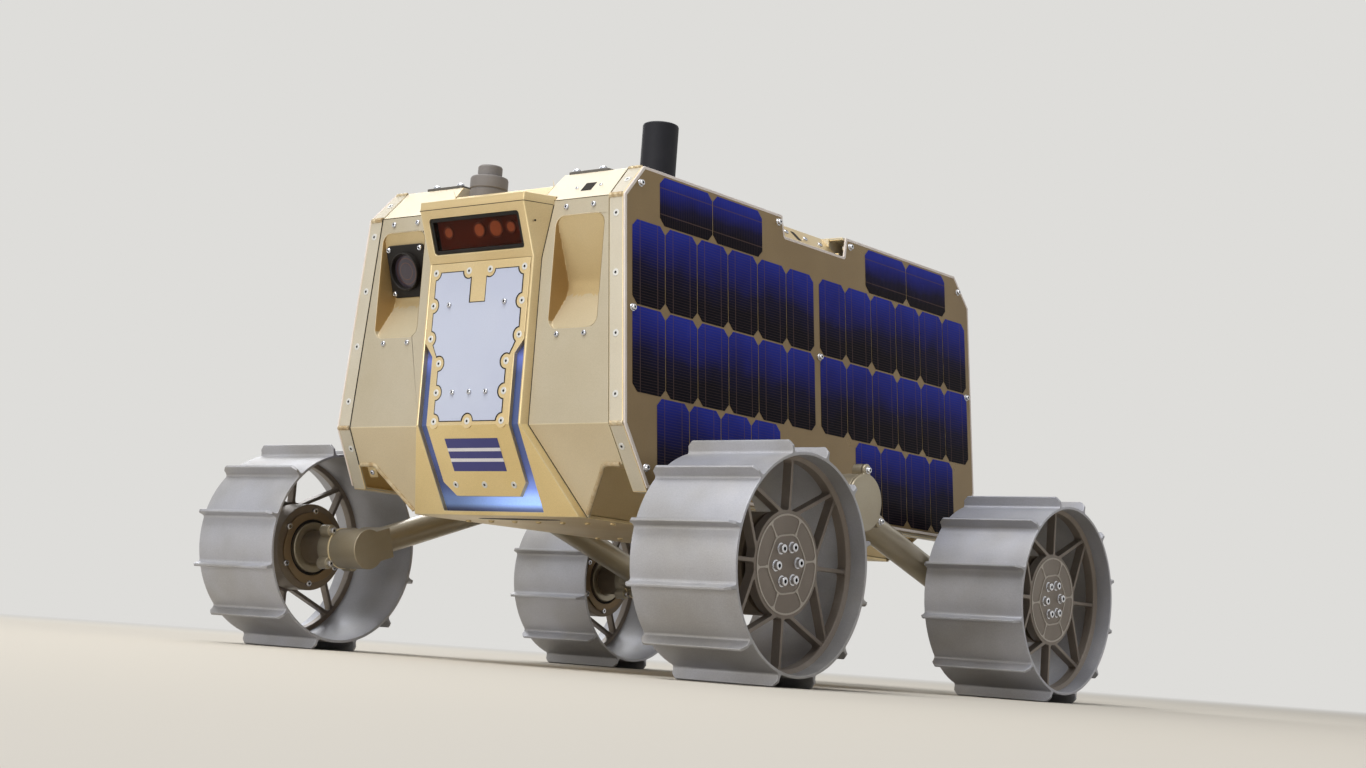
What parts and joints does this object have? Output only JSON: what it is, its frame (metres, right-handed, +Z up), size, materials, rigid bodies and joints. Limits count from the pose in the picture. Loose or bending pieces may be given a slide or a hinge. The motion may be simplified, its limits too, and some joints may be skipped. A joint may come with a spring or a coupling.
{
  "type": "four-wheeled planetary rover prototype",
  "caption": "Box-bodied solar rover on two fixed V rockers, with four turning grouser wheels, a nose console, cameras and antennas.",
  "frame": {"origin": "middle of the footprint, on the floor that the wheels stand on", "axes": "+Z up, -Y towards the nose, +X towards the rover's own left"},
  "size_m": [0.609, 0.5992, 0.4591],
  "materials": {
    "gold_shell": "satin gold coat over aluminium sheet",
    "frame_gold": "satin gold coat, scuffed along its edges",
    "flank_beige": "matt sand-gold anodised sheet",
    "roof_cream": "satin gold coat",
    "white_plate": "matt white coat",
    "channel_light": "translucent diffuser over blue lamps",
    "panel_bronze": "satin bronze laminate with a pale edge",
    "solar_cell": "dark blue silicon under clear resin",
    "rocker_metal": "bead-blasted and hard-coated",
    "motor_housing": "dark hard coat",
    "wheel_metal": "bead-blasted",
    "black_plastic": "matt black",
    "amber_glass": "dark amber filter glass",
    "lens_brown": "coated lenses on a dark board",
    "lens_dark": "coated lens in a black barrel",
    "mast_grey": "dark grey moulded radome",
    "puck_grey": "pale grey moulded housing"
  },
  "bodies": {
    "chassis": {"antenna_mast": "mast_grey", "antenna_puck": "puck_grey", "belly_plate": "gold_shell", "camera_lens": "lens_dark", "camera_plate": "black_plastic", "chassis_tub": "gold_shell", "console": "gold_shell", "console_plate": "gold_shell", "cover_plate": "white_plate", "flank_cover_left": "flank_beige", "flank_cover_right": "flank_beige", "knuckles": "rocker_metal", "light_channel": "channel_light", "notch_plates": "gold_shell", "pivot_covers": "rocker_metal", "pivot_shafts": "rocker_metal", "rear_cover": "flank_beige", "rocker_hubs": "rocker_metal", "rocker_tubes": "rocker_metal", "roof_cover_left": "roof_cream", "roof_cover_right": "roof_cream", "roof_deck": "gold_shell", "roof_nose_plate": "gold_shell", "sensor_bezel": "black_plastic", "sensor_glass": "amber_glass", "sensor_lenses": "lens_brown", "side_frame_left": "frame_gold", "side_frame_right": "frame_gold", "solar_cells_left": "solar_cell", "solar_cells_right": "solar_cell", "solar_plate_left": "panel_bronze", "solar_plate_right": "panel_bronze", "wheel_motors": "motor_housing"},
    "wheel_front_left_body": {"wheel_front_left": "wheel_metal"},
    "wheel_front_right_body": {"wheel_front_right": "wheel_metal"},
    "wheel_rear_left_body": {"wheel_rear_left": "wheel_metal"},
    "wheel_rear_right_body": {"wheel_rear_right": "wheel_metal"}
  },
  "joints": [
    {"name": "wheel_front_left_roll", "type": "hinge", "parent": "chassis", "child": "wheel_front_left_body", "pos_m": [0.2545, -0.2075, 0.09209], "axis": [1, 0, 0], "continuous": true},
    {"name": "wheel_front_right_roll", "type": "hinge", "parent": "chassis", "child": "wheel_front_right_body", "pos_m": [-0.2545, -0.2075, 0.09209], "axis": [1, 0, 0], "continuous": true},
    {"name": "wheel_rear_left_roll", "type": "hinge", "parent": "chassis", "child": "wheel_rear_left_body", "pos_m": [0.2545, 0.2075, 0.09209], "axis": [1, 0, 0], "continuous": true},
    {"name": "wheel_rear_right_roll", "type": "hinge", "parent": "chassis", "child": "wheel_rear_right_body", "pos_m": [-0.2545, 0.2075, 0.09209], "axis": [1, 0, 0], "continuous": true}
  ]
}
